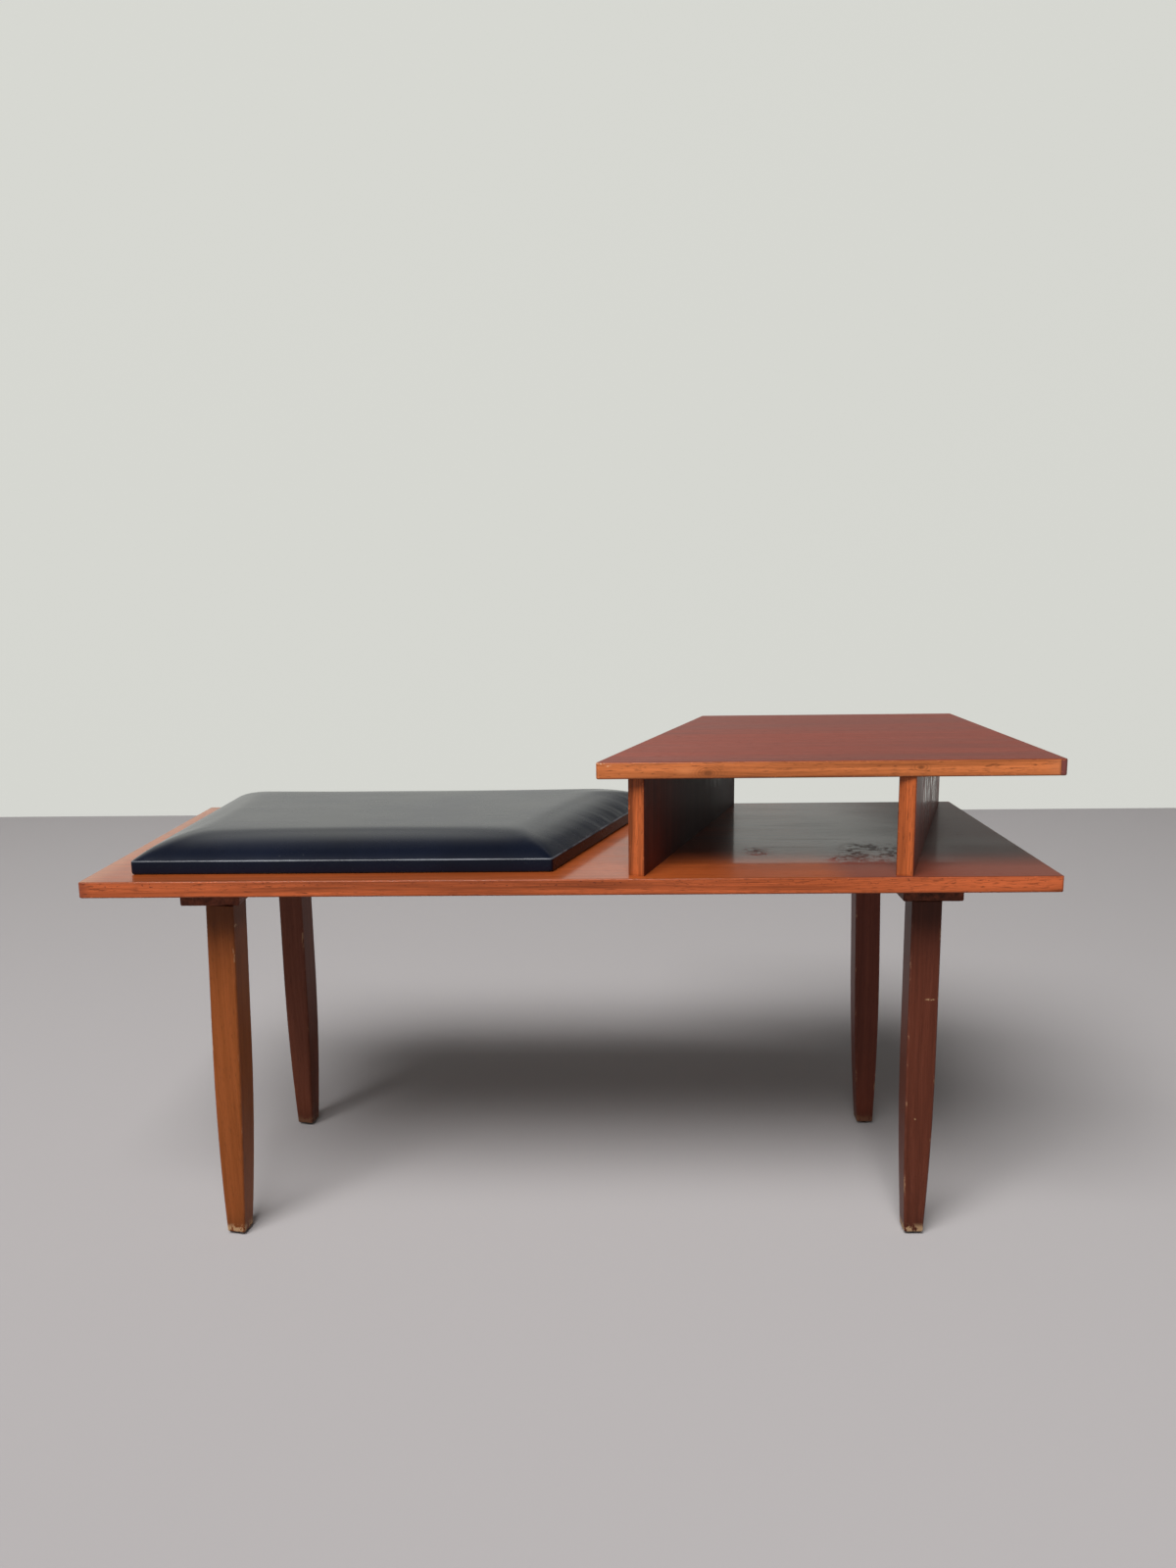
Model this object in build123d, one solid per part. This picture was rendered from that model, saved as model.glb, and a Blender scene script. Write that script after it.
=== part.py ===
from build123d import *
import os
from math import cos, hypot, radians, sin, tan

# Telephone bench. Millimetres, +Z up, front towards -Y, shelf at the +X end.
# The origin is on the floor, below the middle of the seat board.

# Panels: a particle board core, a veneer on each face and solid lippings round the edge
CORE = 16.0
VENEER = 0.5
PANEL = CORE + 2 * VENEER
LIPPING = 7.0
PANEL_CORNER = 3.0          # rounding of a panel's corners, seen from above
PANEL_ARRIS = 1.5           # rounding along its long edges
UPRIGHT_ARRIS = 1.0

# Seat board
SEAT_LENGTH = 1000.0
SEAT_DEPTH = 400.0
SEAT_TOP = 430.0

# Telephone shelf: its left end is slanted, its front and back are flush with the seat board
SLANT = 19.0                # degrees off the depth direction, back end further right
SHELF_CLEAR_HEIGHT = 102.0  # between seat board and shelf
SHELF_FRONT_LENGTH = 467.0
SHELF_END_INSET = 3.5       # from the seat board's right end

# Uprights between seat board and shelf, slanted like the shelf's left end
LEFT_UPRIGHT_INSET = 33.0   # from the shelf's front left corner, along its front
LEFT_UPRIGHT_SETBACK = 15.0
RIGHT_UPRIGHT_INSET = 163.5     # from the shelf's right end
RIGHT_UPRIGHT_SETBACK = 7.5
UPRIGHT_BACK_INSET = 1.0

# Dowels in both ends of each upright
DOWEL_RADIUS = 4.0
DOWEL_IN_UPRIGHT = 18.0
DOWEL_IN_PANEL = 12.0
DOWEL_CHAMFER = 0.8
DOWEL_END_MARGIN = 45.0     # from an upright's end to its first dowel
GLUE_GAP = 1.0              # free depth beyond a dowel, screw or bolt
FIT = 0.05                  # radial play of everything that sits in a hole

# Crosswise bearers below the seat board
BEARER_WIDTH = 64.0
BEARER_THICKNESS = 25.0
BEARER_END_INSET = 81.5     # from the seat board's end
BEARER_FRONT_INSET = 57.0   # from the seat board's front edge
BEARER_BACK_INSET = 43.0
BEARER_ROUND = 2.0

# Wood screws with countersunk, slotted heads
SCREW_RADIUS = 2.25
SCREW_HEAD_RADIUS = 4.5
SCREW_HEAD_HEIGHT = 2.6
SCREW_TIP = 5.0
SCREW_SLOT_WIDTH = 1.0
SCREW_SLOT_DEPTH = 1.2
BEARER_SCREW_LENGTH = 35.0
BEARER_SCREW_SPACING = 80.0
BEARER_SCREWS = 3
PAD_SCREW_LENGTH = 25.0

# Legs: square, straight at the top, then tapered on all four sides along an arc
LEG_TOP_WIDTH = 32.0
LEG_FOOT_WIDTH = 21.0
LEG_STRAIGHT = 165.0        # length above the start of the taper
LEG_ARRIS = 2.5
LEG_FOOT_ROUND = 2.4
LEG_SPARE = 2.0             # cut off level at each end
# Each leg as it is screwed in: its distance at the top from the bearer's centre line towards the
# middle, its lean outwards and its turn about its own axis, both in degrees
LEG_STANCE = {
    "front_left_leg": (12.5, 1.3, -10.0),
    "front_right_leg": (6.5, 0.1, 0.0),
    "back_left_leg": (11.5, -0.2, -12.0),
    "back_right_leg": (9.0, 1.0, 0.0),
}

# Hanger bolt in a leg's top, threaded insert in the bearer
BOLT_RADIUS = 4.0
BOLT_IN_BEARER = 19.0
BOLT_WOOD_RADIUS = 3.5
BOLT_IN_LEG = 40.0
BOLT_TIP = 6.0
INSERT_RADIUS = 6.0
INSERT_LENGTH = 21.0
INSERT_FLANGE_RADIUS = 8.0
INSERT_FLANGE = 1.5

# Nail-on glide below each foot
GLIDE_RADIUS = 7.0
GLIDE_FLAT_RADIUS = 4.0
GLIDE_HEIGHT = 3.0
GLIDE_NAIL_RADIUS = 1.1
GLIDE_NAIL_LENGTH = 14.0
GLIDE_NAIL_TIP = 3.0

# Seat pad: foam on a base board, under a vinyl cover that is turned under and stapled
PAD_LEFT_MARGIN = 43.0
PAD_FRONT_MARGIN = 29.0
PAD_BACK_MARGIN = 28.0
PAD_SHELF_GAP = 45.5        # from the shelf's slanted end, along the front
PAD_BOARD = 12.0
PAD_BOARD_CORNER = 4.0
VINYL = 1.0
PAD_CROWN = 22.0            # rise above the base board's upper edge
PAD_SLOPE = 70.0            # width of the rounded border round the flat middle
PAD_SLOPE_POWER = 3         # how fast the border flattens towards the middle
PAD_SECTIONS = 6
PAD_SECTION_SPREAD = 1.5    # above 1, sections crowd where the border is steep
PAD_CORNER_GROWTH = 0.6     # how much the plan corners soften on the way up
TURN_UNDER = 25.0
STAPLE_INSET = 13.0
STAPLE_SPACING = 55.0
STAPLE_CROWN = 10.0
STAPLE_WIRE = 1.2
STAPLE_THICKNESS = 0.6
STAPLE_LEG = 6.0
PAD_SCREW_INSETS = (55.0, 60.0, 55.0, 140.0)    # from the pad's front, right, back and left

# Heights and lines that follow from these sizes
SEAT_UNDERSIDE = SEAT_TOP - PANEL
BEARER_UNDERSIDE = SEAT_UNDERSIDE - BEARER_THICKNESS
SHELF_UNDERSIDE = SEAT_TOP + SHELF_CLEAR_HEIGHT
PAD_EDGE = VINYL + PAD_BOARD + VINYL
SEAT_LEFT = -SEAT_LENGTH / 2
SEAT_RIGHT = SEAT_LENGTH / 2
SEAT_FRONT = -SEAT_DEPTH / 2
SEAT_BACK = SEAT_DEPTH / 2
SHELF_RIGHT = SEAT_RIGHT - SHELF_END_INSET
SHELF_FRONT_LEFT = SHELF_RIGHT - SHELF_FRONT_LENGTH
SLANT_RUN = tan(radians(SLANT))
ON_ITS_BASE = (Align.CENTER, Align.CENTER, Align.MIN)
SIDES = ("front", "right", "back", "left")      # of a plan, in the order of its corners
BEARER_CENTRE_X = SEAT_RIGHT - BEARER_END_INSET - BEARER_WIDTH / 2
BEARER_FRONT = SEAT_FRONT + BEARER_FRONT_INSET
BEARER_BACK = SEAT_BACK - BEARER_BACK_INSET
BEARER_MIDDLE = (BEARER_FRONT + BEARER_BACK) / 2
LEG_LENGTH = BEARER_UNDERSIDE - GLIDE_HEIGHT
LEG_FRONT_Y = BEARER_FRONT + LEG_TOP_WIDTH / 2
LEG_BACK_Y = BEARER_BACK - LEG_TOP_WIDTH / 2


def slanted_x(x, y, new_y):
    """Where a slanted line through (x, y) crosses another depth."""
    return x + (new_y - y) * SLANT_RUN


def inset(plan, distances):
    """A convex plan, counter-clockwise, with each side moved in by its own distance."""
    lines = []
    for (x0, y0), (x1, y1), distance in zip(plan, plan[1:] + plan[:1], distances):
        length = hypot(x1 - x0, y1 - y0)
        across, along = (y0 - y1) / length, (x1 - x0) / length
        lines.append((across, along, across * x0 + along * y0 + distance))
    corners = []
    for (a, b, c), (d, e, f) in zip(lines[-1:] + lines[:-1], lines):
        determinant = a * e - b * d
        corners.append(((c * e - b * f) / determinant, (a * f - c * d) / determinant))
    return corners


def plan_face(plan, radius=0.0):
    """The face inside a plan, with its corners rounded."""
    face = make_face(Polyline(*plan, close=True))
    if radius:
        face = fillet(face.vertices(), radius)
    return face


def prism(plan, bottom, height, radius=0.0):
    """A plan raised to a solid."""
    return Pos(0, 0, bottom) * extrude(plan_face(plan, radius), height)


def between_heights(solid, bottom, height):
    """The slice of a solid between two heights."""
    upper = split(solid, Plane.XY.offset(bottom), Keep.TOP)
    return split(upper, Plane.XY.offset(bottom + height), Keep.BOTTOM)


def cylinders(places, radius, bottom, height):
    """One upright cylinder at each place, seen from above."""
    solid = Cylinder(radius, height, align=ON_ITS_BASE)
    return [Pos(x, y, bottom) * solid for x, y in places]


def spun(points):
    """A turned solid from its half profile of (radius, height) points."""
    return revolve(make_face(Polyline(*[(r, 0, z) for r, z in points], close=True)), Axis.Z)


def group(solids):
    """Separate solids of one kind, kept together."""
    return Compound(children=[solid.solid() for solid in solids])


def lipped_panel(plan, bottom, lipping_order, core_holes, upper_holes, lower_holes):
    """Core, two veneers and four lippings, each butted against those before it in the order."""
    envelope = prism(plan, bottom, PANEL, PANEL_CORNER)
    rims = envelope.faces().filter_by(Axis.Z)
    envelope = fillet(rims.edges(), PANEL_ARRIS)
    middle = between_heights(envelope, bottom + VENEER, CORE)
    core = prism(inset(plan, [LIPPING] * 4), bottom + VENEER, CORE)
    pieces = {
        "core": core - core_holes,
        "top_veneer": between_heights(envelope, bottom + PANEL - VENEER, VENEER) - upper_holes,
        "underside_veneer": between_heights(envelope, bottom, VENEER) - lower_holes,
    }
    rim = middle - core
    for side in lipping_order:
        distances = [LIPPING if side == other else 0 for other in SIDES]
        rest = prism(inset(plan, distances), bottom, PANEL)
        pieces[f"{side}_lipping"] = (rim - rest).solid()
        rim = rim & rest
    return pieces


def upright_frame(x, setback):
    """Place and length of an upright, from its front left corner to the seat board's back."""
    front = SEAT_FRONT + setback
    length = (SEAT_BACK - UPRIGHT_BACK_INSET - front) / cos(radians(SLANT))
    return Pos(x, front, SEAT_TOP) * Rot(0, 0, -SLANT), length


def dowel_places(place, length):
    """Where the dowels of an upright stand, seen from above."""
    along = (DOWEL_END_MARGIN, length / 2, length - DOWEL_END_MARGIN)
    points = [(place * Pos(PANEL / 2, y, 0)).position for y in along]
    return [(point.X, point.Y) for point in points]


def upright_layer(x, width, y, length):
    """A box over an upright's full height, in the upright's own directions."""
    return Pos(x, y, 0) * Box(width, length, SHELF_CLEAR_HEIGHT, align=Align.MIN)


def upright_parts(place, length, holes):
    """Core, two face veneers and the lippings on both ends of an upright, square cut."""
    envelope = fillet(upright_layer(0, PANEL, 0, length).edges().filter_by(Axis.Z), UPRIGHT_ARRIS)
    left_veneer = envelope & upright_layer(0, VENEER, 0, length)
    right_veneer = envelope & upright_layer(PANEL - VENEER, VENEER, 0, length)
    core = upright_layer(VENEER, CORE, LIPPING, length - 2 * LIPPING)
    front, back = (envelope - left_veneer - right_veneer - core).solids().sort_by(Axis.Y)
    return {
        "core": place * core - holes,
        "left_veneer": place * left_veneer,
        "right_veneer": place * right_veneer,
        "front_lipping": place * front,
        "back_lipping": place * back,
    }


def dowel(x, y, bottom):
    """A dowel with chamfered ends."""
    solid = cylinders([(x, y)], DOWEL_RADIUS, bottom, DOWEL_IN_PANEL + DOWEL_IN_UPRIGHT)[0]
    return chamfer(solid.edges().filter_by(GeomType.CIRCLE), DOWEL_CHAMFER)


def screw_body(length, play=0.0):
    """A wood screw, head down, or with play the hole that it takes."""
    return spun([
        (0, 0),
        (SCREW_HEAD_RADIUS + play, 0),
        (SCREW_RADIUS + play, SCREW_HEAD_HEIGHT),
        (SCREW_RADIUS + play, length - SCREW_TIP + play),
        (0, length + play),
    ])


def screws(places, bottom, length):
    """Slotted wood screws, driven up from below."""
    slot = Box(2 * SCREW_HEAD_RADIUS, SCREW_SLOT_WIDTH, 2 * SCREW_SLOT_DEPTH)
    return [Pos(x, y, bottom) * (screw_body(length) - slot) for x, y in places]


def screw_holes(places, bottom, length):
    """The countersunk holes that those screws fill."""
    return [Pos(x, y, bottom) * screw_body(length, FIT) for x, y in places]


def bearer(centre_x, holes):
    """A flat bar across the seat board's underside, with its lower edges rounded."""
    bar = Pos(centre_x, BEARER_MIDDLE, BEARER_UNDERSIDE) * Box(
        BEARER_WIDTH, BEARER_BACK - BEARER_FRONT, BEARER_THICKNESS, align=ON_ITS_BASE
    )
    lower = bar.faces().sort_by(Axis.Z)[0].edges()
    bar = fillet(lower + bar.edges().filter_by(Axis.Z), BEARER_ROUND)
    return bar - holes


def leg_profile(plane):
    """Side view of a leg, a little longer than the leg: straight, then an arc on each side."""
    top, foot = LEG_TOP_WIDTH / 2, LEG_FOOT_WIDTH / 2
    taper_start, foot_end = (top, -LEG_STRAIGHT), (foot, -LEG_LENGTH - LEG_SPARE)
    right = Line((top, LEG_SPARE), taper_start) + TangentArc(taper_start, foot_end, tangent=(0, -1))
    ends = Line((-top, LEG_SPARE), (top, LEG_SPARE)) + Line((-foot, foot_end[1]), foot_end)
    profile = make_face(right + mirror(right, Plane.YZ) + ends)
    return extrude(plane * profile, LEG_TOP_WIDTH, both=True)


def leg(top, side, lean, turn, holes):
    """A tapered leg, leaning outwards, cut level at its top and its foot."""
    blank = leg_profile(Plane.XZ) & leg_profile(Plane.YZ)
    blank = fillet(blank.edges() - blank.edges().filter_by(Plane.XY), LEG_ARRIS)
    leaning = top * Rot(0, -side * lean, 0) * Rot(0, 0, turn) * blank
    cut = between_heights(leaning, GLIDE_HEIGHT, LEG_LENGTH)
    cut = fillet(cut.faces().sort_by(Axis.Z)[0].edges(), LEG_FOOT_ROUND)
    return cut - holes


def hanger_bolt(play=0.0):
    """Metric thread above the joint, wood thread and point below it; with play, its hole."""
    return spun([
        (0, BOLT_IN_BEARER + play),
        (BOLT_RADIUS + play, BOLT_IN_BEARER + play),
        (BOLT_RADIUS + play, 0),
        (BOLT_WOOD_RADIUS + play, 0),
        (BOLT_WOOD_RADIUS + play, BOLT_TIP - BOLT_IN_LEG),
        (0, -BOLT_IN_LEG - play),
    ])


def threaded_insert(play=0.0):
    """Flanged sleeve, flush with the bearer's underside."""
    return spun([
        (0, 0),
        (INSERT_FLANGE_RADIUS + play, 0),
        (INSERT_FLANGE_RADIUS + play, INSERT_FLANGE + play),
        (INSERT_RADIUS + play, INSERT_FLANGE + play),
        (INSERT_RADIUS + play, INSERT_LENGTH + play),
        (0, INSERT_LENGTH + play),
    ])


def glide(play=0.0):
    """Domed glide with a flat middle, and the nail that holds it."""
    dome = Plane.XZ * make_face(
        Polyline((GLIDE_RADIUS, GLIDE_HEIGHT), (0, GLIDE_HEIGHT), (0, 0), (GLIDE_FLAT_RADIUS, 0))
        + TangentArc((GLIDE_FLAT_RADIUS, 0), (GLIDE_RADIUS, GLIDE_HEIGHT), tangent=(1, 0))
    )
    shank = GLIDE_NAIL_RADIUS + play
    nail = spun([
        (0, GLIDE_HEIGHT),
        (shank, GLIDE_HEIGHT),
        (shank, GLIDE_HEIGHT + GLIDE_NAIL_LENGTH - GLIDE_NAIL_TIP),
        (0, GLIDE_HEIGHT + GLIDE_NAIL_LENGTH + play),
    ])
    return nail if play else revolve(dome, Axis.Z) + nail


def crowned(plan, bottom, rise):
    """Loft over a plan whose border rises steeply at the edge and flattens towards the middle."""
    sections = []
    for step in range(PAD_SECTIONS + 1):
        share = (step / PAD_SECTIONS) ** PAD_SECTION_SPREAD
        distance = share * PAD_SLOPE
        height = rise * (1 - (1 - share) ** PAD_SLOPE_POWER)
        radius = PAD_BOARD_CORNER + PAD_CORNER_GROWTH * distance
        face = plan_face(inset(plan, [distance] * 4), radius)
        sections.append(Pos(0, 0, bottom + height) * face)
    return loft(sections)


def staple_places(plan):
    """Points and directions of the staples, along a line inside the pad's edge."""
    corners = inset(plan, [STAPLE_INSET] * 4)
    places = []
    for (x0, y0), (x1, y1) in zip(corners, corners[1:] + corners[:1]):
        length = hypot(x1 - x0, y1 - y0)
        count = int(length / STAPLE_SPACING)
        angle = Vector(x1 - x0, y1 - y0, 0).get_signed_angle(Vector(1, 0, 0), Vector(0, 0, -1))
        for number in range(count):
            share = (number + 0.5) / count
            spot = Pos(x0 + share * (x1 - x0), y0 + share * (y1 - y0), SEAT_TOP)
            places.append(spot * Rot(0, 0, angle))
    return places


def staple():
    """A flat wire staple, its crown at the bottom."""
    crown = Box(STAPLE_CROWN, STAPLE_WIRE, STAPLE_THICKNESS, align=ON_ITS_BASE)
    prong = Box(STAPLE_THICKNESS, STAPLE_WIRE, STAPLE_LEG, align=ON_ITS_BASE)
    reach = (STAPLE_CROWN - STAPLE_THICKNESS) / 2
    return crown + Pos(reach, 0, 0) * prong + Pos(-reach, 0, 0) * prong


nodes = {}

# Plans of the seat board, the shelf and the pad, counter-clockwise from the front left corner
seat_plan = [
    (SEAT_LEFT, SEAT_FRONT),
    (SEAT_RIGHT, SEAT_FRONT),
    (SEAT_RIGHT, SEAT_BACK),
    (SEAT_LEFT, SEAT_BACK),
]
shelf_plan = [
    (SHELF_FRONT_LEFT, SEAT_FRONT),
    (SHELF_RIGHT, SEAT_FRONT),
    (SHELF_RIGHT, SEAT_BACK),
    (slanted_x(SHELF_FRONT_LEFT, SEAT_FRONT, SEAT_BACK), SEAT_BACK),
]
pad_front = SEAT_FRONT + PAD_FRONT_MARGIN
pad_back = SEAT_BACK - PAD_BACK_MARGIN
pad_left = SEAT_LEFT + PAD_LEFT_MARGIN
pad_front_right = SHELF_FRONT_LEFT - PAD_SHELF_GAP
pad_plan = [
    (pad_left, pad_front),
    (pad_front_right, pad_front),
    (slanted_x(pad_front_right, pad_front, pad_back), pad_back),
    (pad_left, pad_back),
]

# Dowels of the two uprights
uprights = {
    "left": upright_frame(SHELF_FRONT_LEFT + LEFT_UPRIGHT_INSET, LEFT_UPRIGHT_SETBACK),
    "right": upright_frame(SHELF_RIGHT - RIGHT_UPRIGHT_INSET, RIGHT_UPRIGHT_SETBACK),
}
dowel_spots = [spot for place, length in uprights.values() for spot in dowel_places(place, length)]
lower_dowel_bottom = SEAT_TOP - DOWEL_IN_PANEL
upper_dowel_bottom = SHELF_UNDERSIDE - DOWEL_IN_UPRIGHT
dowel_length = DOWEL_IN_PANEL + DOWEL_IN_UPRIGHT
nodes["seat_to_upright_dowels"] = group([dowel(x, y, lower_dowel_bottom) for x, y in dowel_spots])
nodes["upright_to_shelf_dowels"] = group([dowel(x, y, upper_dowel_bottom) for x, y in dowel_spots])
hole_radius = DOWEL_RADIUS + FIT
lower_dowel_holes = cylinders(
    dowel_spots, hole_radius, lower_dowel_bottom - GLUE_GAP, dowel_length + 2 * GLUE_GAP
)
upper_dowel_holes = cylinders(
    dowel_spots, hole_radius, upper_dowel_bottom - GLUE_GAP, dowel_length + 2 * GLUE_GAP
)

# Screws: bearers to seat board, and seat board to pad
bearer_screw_ys = [
    BEARER_MIDDLE + (number - (BEARER_SCREWS - 1) / 2) * BEARER_SCREW_SPACING
    for number in range(BEARER_SCREWS)
]
bearer_screw_spots = [(side * BEARER_CENTRE_X, y) for side in (-1, 1) for y in bearer_screw_ys]
pad_screw_spots = inset(pad_plan, PAD_SCREW_INSETS)
nodes["bearer_screws"] = group(screws(bearer_screw_spots, BEARER_UNDERSIDE, BEARER_SCREW_LENGTH))
nodes["pad_screws"] = group(screws(pad_screw_spots, SEAT_UNDERSIDE, PAD_SCREW_LENGTH))
bearer_screw_holes = screw_holes(bearer_screw_spots, BEARER_UNDERSIDE, BEARER_SCREW_LENGTH)
pad_screw_holes = screw_holes(pad_screw_spots, SEAT_UNDERSIDE, PAD_SCREW_LENGTH)

# Seat board and shelf
seat_holes = bearer_screw_holes + pad_screw_holes
panels = {
    "seat_board": lipped_panel(
        seat_plan,
        SEAT_UNDERSIDE,
        ("front", "back", "left", "right"),
        seat_holes + lower_dowel_holes,
        pad_screw_holes + lower_dowel_holes,
        seat_holes,
    ),
    "shelf": lipped_panel(
        shelf_plan,
        SHELF_UNDERSIDE,
        ("right", "front", "back", "left"),
        upper_dowel_holes,
        [],
        upper_dowel_holes,
    ),
}
for panel_name, pieces in panels.items():
    for piece_name, piece in pieces.items():
        nodes[f"{panel_name}_{piece_name}"] = piece

# Uprights
for side_name, (place, length) in uprights.items():
    pieces = upright_parts(place, length, lower_dowel_holes + upper_dowel_holes)
    for piece_name, piece in pieces.items():
        nodes[f"{side_name}_upright_{piece_name}"] = piece

# Bearers, legs, their bolts and inserts, and the glides
leg_names = {
    "front_left_leg": (-1, LEG_FRONT_Y),
    "front_right_leg": (1, LEG_FRONT_Y),
    "back_left_leg": (-1, LEG_BACK_Y),
    "back_right_leg": (1, LEG_BACK_Y),
}
bolts, inserts, glides, insert_holes = [], [], [], []
for leg_name, (side, y) in leg_names.items():
    shift, lean, turn = LEG_STANCE[leg_name]
    top_x = BEARER_CENTRE_X - shift
    foot_x = top_x + LEG_LENGTH * tan(radians(lean))
    top = Pos(side * top_x, y, BEARER_UNDERSIDE)
    foot = Pos(side * foot_x, y, 0)
    bolts.append(top * hanger_bolt())
    inserts.append(top * (threaded_insert() - hanger_bolt(FIT)))
    insert_holes.append(top * threaded_insert(FIT))
    glides.append(foot * glide())
    nodes[leg_name] = leg(top, side, lean, turn, [top * hanger_bolt(FIT), foot * glide(FIT)])
nodes["left_bearer"] = bearer(-BEARER_CENTRE_X, bearer_screw_holes + insert_holes)
nodes["right_bearer"] = bearer(BEARER_CENTRE_X, bearer_screw_holes + insert_holes)
nodes["hanger_bolts"] = group(bolts)
nodes["threaded_inserts"] = group(inserts)
nodes["foot_glides"] = group(glides)

# Seat pad
base_plan = inset(pad_plan, [VINYL] * 4)
base_radius = PAD_BOARD_CORNER - VINYL
staples = [place * staple() for place in staple_places(pad_plan)]
base_board = prism(base_plan, SEAT_TOP + VINYL, PAD_BOARD, base_radius)
foam = crowned(base_plan, SEAT_TOP + VINYL + PAD_BOARD, PAD_CROWN)
cover = prism(pad_plan, SEAT_TOP, PAD_EDGE, PAD_BOARD_CORNER)
cover += crowned(pad_plan, SEAT_TOP + PAD_EDGE, PAD_CROWN)
window = prism(inset(pad_plan, [TURN_UNDER] * 4), SEAT_TOP, VINYL, PAD_BOARD_CORNER)
nodes["pad_vinyl_cover"] = cover - base_board - foam - window - staples
nodes["pad_foam"] = foam
nodes["pad_base_board"] = base_board - pad_screw_holes - staples
nodes["pad_staples"] = group(staples)

os.makedirs("parts", exist_ok=True)
for node_name, node in nodes.items():
    export_step(node, f"parts/{node_name}.step")
print(len(nodes), "nodes")
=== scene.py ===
"""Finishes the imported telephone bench: wood, black vinyl pad, fittings, stage and camera."""

import math
from dataclasses import dataclass

import bmesh
import bpy
from bpy.props import FloatProperty, FloatVectorProperty, IntProperty, PointerProperty
from bpy.types import Operator, Panel, PropertyGroup
from mathutils import Matrix, Vector


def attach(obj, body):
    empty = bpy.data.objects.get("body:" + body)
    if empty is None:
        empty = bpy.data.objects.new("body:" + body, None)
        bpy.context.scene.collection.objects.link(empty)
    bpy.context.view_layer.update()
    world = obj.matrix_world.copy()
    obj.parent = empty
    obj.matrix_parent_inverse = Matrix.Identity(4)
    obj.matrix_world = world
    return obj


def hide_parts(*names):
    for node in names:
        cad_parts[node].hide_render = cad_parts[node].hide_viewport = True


bl_info = {
    "name": "Telephone Bench",
    "version": (1, 0, 0),
    "blender": (4, 5, 0),
    "location": "View3D > Sidebar > Bench",
    "description": "Finishes a telephone bench with a slanted shelf and a vinyl pad",
    "category": "Object",
}

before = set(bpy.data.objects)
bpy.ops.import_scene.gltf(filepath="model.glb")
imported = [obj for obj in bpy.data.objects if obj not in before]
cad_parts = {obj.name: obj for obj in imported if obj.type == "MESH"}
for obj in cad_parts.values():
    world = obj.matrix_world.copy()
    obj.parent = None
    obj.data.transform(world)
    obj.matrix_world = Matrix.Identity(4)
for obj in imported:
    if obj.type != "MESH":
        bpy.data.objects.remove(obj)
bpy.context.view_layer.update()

MM = 0.001
X, Y, Z = range(3)
SLANT = math.radians(19)    # of the shelf's left end and of the uprights, off the depth direction


def corners_of(node, angle=0.0):
    """Lowest and highest corners of a node, in axes that are turned about Z."""
    turn = Matrix.Rotation(angle, 3, "Z")
    points = [turn @ vertex.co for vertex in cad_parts[node].data.vertices]
    low = Vector([min(point[axis] for point in points) for axis in (X, Y, Z)])
    high = Vector([max(point[axis] for point in points) for axis in (X, Y, Z)])
    return low, high


def boxed(node, angle=0.0):
    """A node's corners in turned axes, with the angle of those axes."""
    return (*corners_of(node, angle), angle)


def tone(red, green, blue):
    """A colour as it looks on screen, 0 to 255, in the linear values that shaders use."""
    def linear(part):
        share = part / 255
        return share / 12.92 if share <= 0.04045 else ((share + 0.055) / 1.055) ** 2.4
    return (linear(red), linear(green), linear(blue))


def darker(colour, share):
    """The same hue at a share of its brightness."""
    return tuple(part * share for part in colour)


def lighter(colour, share=1.45, lift=0.02):
    """A lighter colour; by default that of the same wood where its stain is rubbed thin."""
    return tuple(min(1, part * share + lift) for part in colour)


# ------------ shader building


class Value:
    """A number that varies over a surface. Its operators add Math nodes."""

    def __init__(self, finish, socket):
        self.finish = finish
        self.socket = socket

    def math(self, operation, *others):
        """A Math node with this value as its first operand."""
        operands = dict(enumerate((self, *others)))
        return self.finish.add("ShaderNodeMath", {"operation": operation}, operands)[0]

    def reflected(self, operation, other):
        """A Math node with this value as its second operand."""
        return self.finish.add("ShaderNodeMath", {"operation": operation}, {0: other, 1: self})[0]

    def __add__(self, other):
        return self.math("ADD", other)

    def __radd__(self, other):
        return self.reflected("ADD", other)

    def __sub__(self, other):
        return self.math("SUBTRACT", other)

    def __rsub__(self, other):
        return self.reflected("SUBTRACT", other)

    def __mul__(self, other):
        return self.math("MULTIPLY", other)

    def __rmul__(self, other):
        return self.reflected("MULTIPLY", other)

    def __truediv__(self, other):
        return self.math("DIVIDE", other)

    def __rtruediv__(self, other):
        return self.reflected("DIVIDE", other)

    def __pow__(self, other):
        return self.math("POWER", other)

    def __abs__(self):
        return self.math("ABSOLUTE")

    def least(self, other):
        return self.math("MINIMUM", other)

    def most(self, other):
        return self.math("MAXIMUM", other)

    def root(self):
        return self.math("SQRT")

    def rise(self, start, end):
        """0 up to start, 1 from end on, smooth between them; end may lie below start."""
        values = {"Value": self, "From Min": min(start, end), "From Max": max(start, end)}
        if end < start:
            values.update({"To Min": 1, "To Max": 0})
        settings = {"interpolation_type": "SMOOTHSTEP"}
        return self.finish.add("ShaderNodeMapRange", settings, values)[0]


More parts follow.
